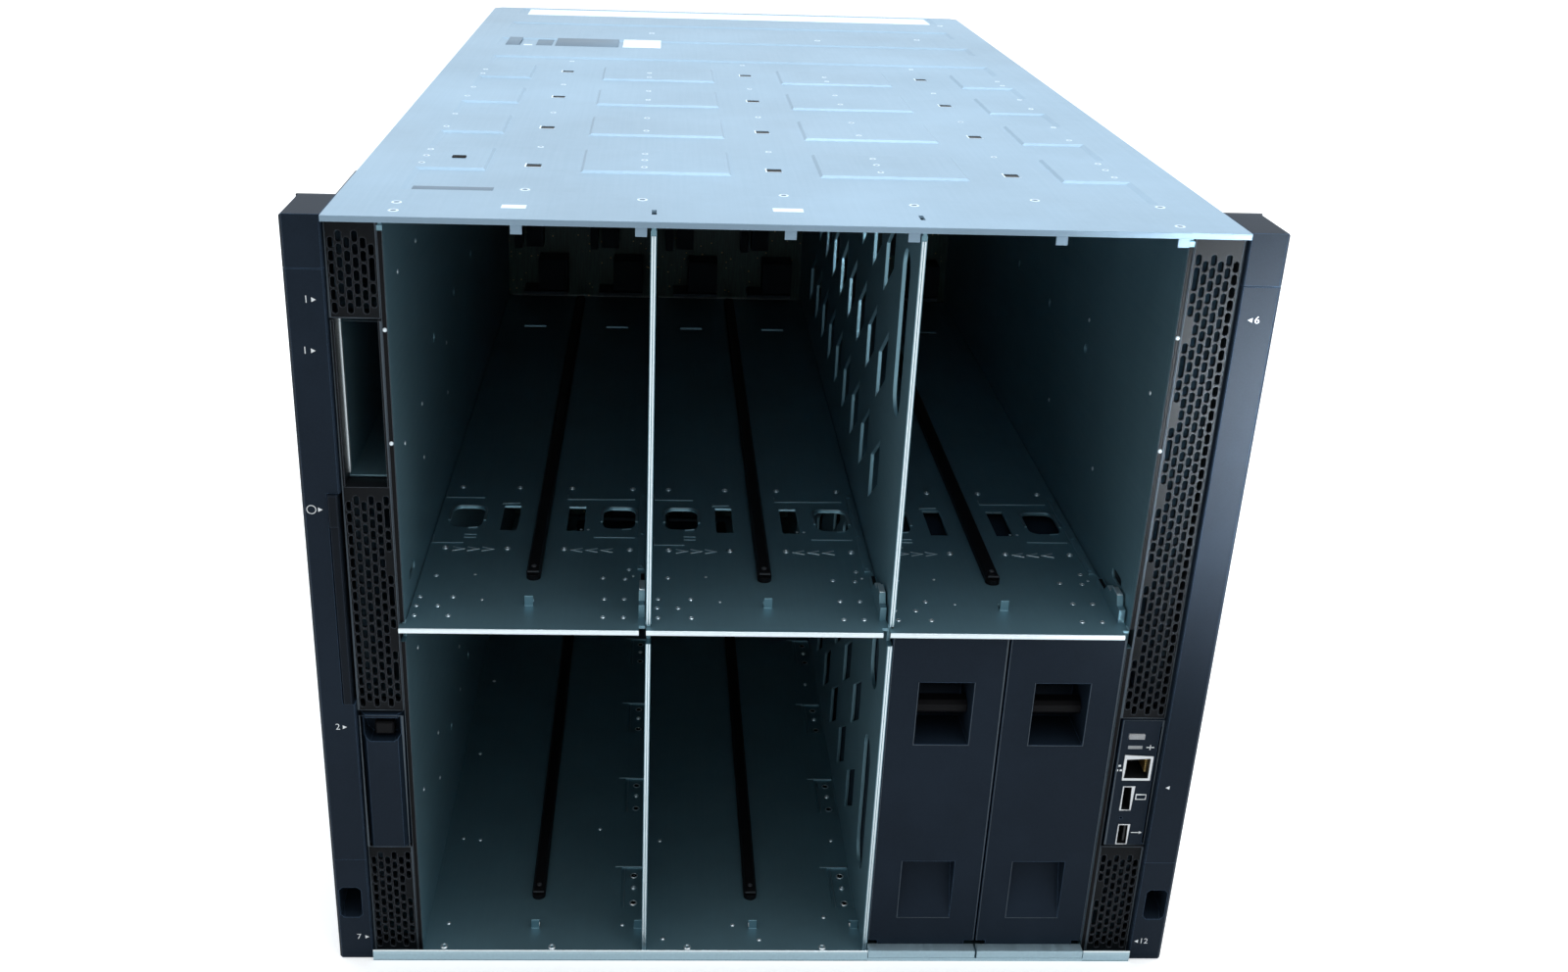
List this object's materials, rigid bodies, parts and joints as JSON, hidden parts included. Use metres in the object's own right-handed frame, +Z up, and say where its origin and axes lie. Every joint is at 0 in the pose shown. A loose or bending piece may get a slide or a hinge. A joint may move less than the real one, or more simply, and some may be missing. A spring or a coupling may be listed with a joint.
{
  "type": "blade server chassis",
  "caption": "Steel rack chassis with a pressed cover, divided device bays with pierced partitions and guide rails, slim columns of dark grilles, rack ears, rear fans and power supplies",
  "frame": {"origin": "the middle of the footprint, on the underside of the base pan", "axes": "+Z up, +X to the right seen from the front, +Y from the front towards the rear fans"},
  "size_m": [0.4826, 0.794, 0.442],
  "materials": {
    "zinc_steel": "zinc-plated sheet, blue-grey sheen",
    "dark_steel": "black powder coat",
    "black_plastic": "moulded black, satin",
    "grille_plastic": "moulded charcoal, fine grain",
    "bezel_plastic": "moulded dark blue-grey, fine grain",
    "grey_plastic": "moulded light grey",
    "light_pipe": "clear light pipe, unlit",
    "plated_steel": "bright nickel plate",
    "board": "dark green circuit board",
    "connector_plastic": "moulded connector body"
  },
  "bodies": {
    "chassis": {"base_pan": "zinc_steel", "top_cover": "zinc_steel", "left_side": "zinc_steel", "right_side": "zinc_steel", "bay_wall_left": "zinc_steel", "bay_wall_right": "zinc_steel", "partition_left": "zinc_steel", "partition_right": "zinc_steel", "floor_rails": "black_plastic", "grille_left_top": "grille_plastic", "grille_left_mid": "grille_plastic", "grille_left_low": "grille_plastic", "grille_right_top": "grille_plastic", "grille_right_low": "grille_plastic", "appliance_sleeves": "zinc_steel", "front_panel": "bezel_plastic", "status_light": "light_pipe", "front_ports": "plated_steel", "left_ear": "bezel_plastic", "right_ear": "bezel_plastic", "ear_caps": "bezel_plastic", "rack_flanges": "dark_steel", "midplane": "board", "midplane_connectors": "connector_plastic", "rear_cage": "zinc_steel", "fan_frames": "grille_plastic", "rear_modules": "dark_steel"},
    "shelf_body_1": {"shelf_1": "zinc_steel", "shelf_rail_1": "black_plastic"},
    "shelf_latch_body_1": {"shelf_latch_1": "dark_steel"},
    "shelf_body_2": {"shelf_2": "zinc_steel", "shelf_rail_2": "black_plastic"},
    "shelf_latch_body_2": {"shelf_latch_2": "dark_steel"},
    "shelf_body_3": {"shelf_3": "zinc_steel", "shelf_rail_3": "black_plastic"},
    "shelf_latch_body_3": {"shelf_latch_3": "dark_steel"},
    "blank_body_11": {"blank_11": "bezel_plastic"},
    "blank_latch_body_11": {"blank_latch_11": "black_plastic"},
    "blank_body_12": {"blank_12": "bezel_plastic"},
    "blank_latch_body_12": {"blank_latch_12": "black_plastic"},
    "appliance_blank_body": {"appliance_blank": "bezel_plastic"},
    "appliance_latch_body": {"appliance_latch": "black_plastic"},
    "info_tab_body": {"info_tab": "bezel_plastic"},
    "uid_button_body": {"uid_button": "grey_plastic"},
    "rotor_1": {"fan_rotor_1": "black_plastic"},
    "rotor_2": {"fan_rotor_2": "black_plastic"},
    "rotor_3": {"fan_rotor_3": "black_plastic"},
    "rotor_4": {"fan_rotor_4": "black_plastic"},
    "rotor_5": {"fan_rotor_5": "black_plastic"},
    "rotor_6": {"fan_rotor_6": "black_plastic"},
    "rotor_7": {"fan_rotor_7": "black_plastic"},
    "rotor_8": {"fan_rotor_8": "black_plastic"},
    "rotor_9": {"fan_rotor_9": "black_plastic"},
    "rotor_10": {"fan_rotor_10": "black_plastic"},
    "supply_1": {"power_supply_1": "plated_steel"},
    "supply_2": {"power_supply_2": "plated_steel"},
    "supply_3": {"power_supply_3": "plated_steel"},
    "supply_4": {"power_supply_4": "plated_steel"},
    "supply_5": {"power_supply_5": "plated_steel"},
    "supply_6": {"power_supply_6": "plated_steel"}
  },
  "joints": [
    {"name": "shelf_1_push", "type": "slide", "parent": "chassis", "child": "shelf_body_1", "axis": [0, 1, 0], "range_m": [0, 0.005]},
    {"name": "shelf_latch_1_slide", "type": "slide", "parent": "shelf_body_1", "child": "shelf_latch_body_1", "axis": [-1, 0, 0], "range_m": [0, 0.003]},
    {"name": "shelf_2_push", "type": "slide", "parent": "chassis", "child": "shelf_body_2", "axis": [0, 1, 0], "range_m": [0, 0.005]},
    {"name": "shelf_latch_2_slide", "type": "slide", "parent": "shelf_body_2", "child": "shelf_latch_body_2", "axis": [-1, 0, 0], "range_m": [0, 0.003]},
    {"name": "shelf_3_push", "type": "slide", "parent": "chassis", "child": "shelf_body_3", "axis": [0, 1, 0], "range_m": [0, 0.005]},
    {"name": "shelf_latch_3_slide", "type": "slide", "parent": "shelf_body_3", "child": "shelf_latch_body_3", "axis": [-1, 0, 0], "range_m": [0, 0.003]},
    {"name": "blank_11_pull", "type": "slide", "parent": "chassis", "child": "blank_body_11", "axis": [0, -1, 0], "range_m": [0, 0.175]},
    {"name": "blank_latch_11_press", "type": "slide", "parent": "blank_body_11", "child": "blank_latch_body_11", "axis": [0, 0, -1], "range_m": [0, 0.004], "stiffness_N_per_m": 300, "springref_m": -0.002},
    {"name": "blank_12_pull", "type": "slide", "parent": "chassis", "child": "blank_body_12", "axis": [0, -1, 0], "range_m": [0, 0.175]},
    {"name": "blank_latch_12_press", "type": "slide", "parent": "blank_body_12", "child": "blank_latch_body_12", "axis": [0, 0, -1], "range_m": [0, 0.004], "stiffness_N_per_m": 300, "springref_m": -0.002},
    {"name": "appliance_blank_pull", "type": "slide", "parent": "chassis", "child": "appliance_blank_body", "axis": [0, -1, 0], "range_m": [0, 0.06]},
    {"name": "appliance_latch_press", "type": "slide", "parent": "appliance_blank_body", "child": "appliance_latch_body", "axis": [0, 0, -1], "range_m": [0, 0.002], "stiffness_N_per_m": 300, "springref_m": -0.002},
    {"name": "info_tab_pull", "type": "slide", "parent": "chassis", "child": "info_tab_body", "axis": [0, -1, 0], "range_m": [0, 0.03]},
    {"name": "uid_button_press", "type": "slide", "parent": "chassis", "child": "uid_button_body", "axis": [0, 1, 0], "range_m": [0, 0.0008], "stiffness_N_per_m": 400, "springref_m": -0.001},
    {"name": "fan_rotor_1_spin", "type": "hinge", "parent": "chassis", "child": "rotor_1", "pos_m": [-0.176, 0.368, 0.35], "axis": [0, 1, 0], "continuous": true},
    {"name": "fan_rotor_2_spin", "type": "hinge", "parent": "chassis", "child": "rotor_2", "pos_m": [-0.088, 0.368, 0.35], "axis": [0, 1, 0], "continuous": true},
    {"name": "fan_rotor_3_spin", "type": "hinge", "parent": "chassis", "child": "rotor_3", "pos_m": [0, 0.368, 0.35], "axis": [0, 1, 0], "continuous": true},
    {"name": "fan_rotor_4_spin", "type": "hinge", "parent": "chassis", "child": "rotor_4", "pos_m": [0.088, 0.368, 0.35], "axis": [0, 1, 0], "continuous": true},
    {"name": "fan_rotor_5_spin", "type": "hinge", "parent": "chassis", "child": "rotor_5", "pos_m": [0.176, 0.368, 0.35], "axis": [0, 1, 0], "continuous": true},
    {"name": "fan_rotor_6_spin", "type": "hinge", "parent": "chassis", "child": "rotor_6", "pos_m": [-0.176, 0.368, 0.177], "axis": [0, 1, 0], "continuous": true},
    {"name": "fan_rotor_7_spin", "type": "hinge", "parent": "chassis", "child": "rotor_7", "pos_m": [-0.088, 0.368, 0.177], "axis": [0, 1, 0], "continuous": true},
    {"name": "fan_rotor_8_spin", "type": "hinge", "parent": "chassis", "child": "rotor_8", "pos_m": [0, 0.368, 0.177], "axis": [0, 1, 0], "continuous": true},
    {"name": "fan_rotor_9_spin", "type": "hinge", "parent": "chassis", "child": "rotor_9", "pos_m": [0.088, 0.368, 0.177], "axis": [0, 1, 0], "continuous": true},
    {"name": "fan_rotor_10_spin", "type": "hinge", "parent": "chassis", "child": "rotor_10", "pos_m": [0.176, 0.368, 0.177], "axis": [0, 1, 0], "continuous": true},
    {"name": "power_supply_1_pull", "type": "slide", "parent": "chassis", "child": "supply_1", "axis": [0, 1, 0], "range_m": [0, 0.15]},
    {"name": "power_supply_2_pull", "type": "slide", "parent": "chassis", "child": "supply_2", "axis": [0, 1, 0], "range_m": [0, 0.15]},
    {"name": "power_supply_3_pull", "type": "slide", "parent": "chassis", "child": "supply_3", "axis": [0, 1, 0], "range_m": [0, 0.15]},
    {"name": "power_supply_4_pull", "type": "slide", "parent": "chassis", "child": "supply_4", "axis": [0, 1, 0], "range_m": [0, 0.15]},
    {"name": "power_supply_5_pull", "type": "slide", "parent": "chassis", "child": "supply_5", "axis": [0, 1, 0], "range_m": [0, 0.15]},
    {"name": "power_supply_6_pull", "type": "slide", "parent": "chassis", "child": "supply_6", "axis": [0, 1, 0], "range_m": [0, 0.15]}
  ]
}
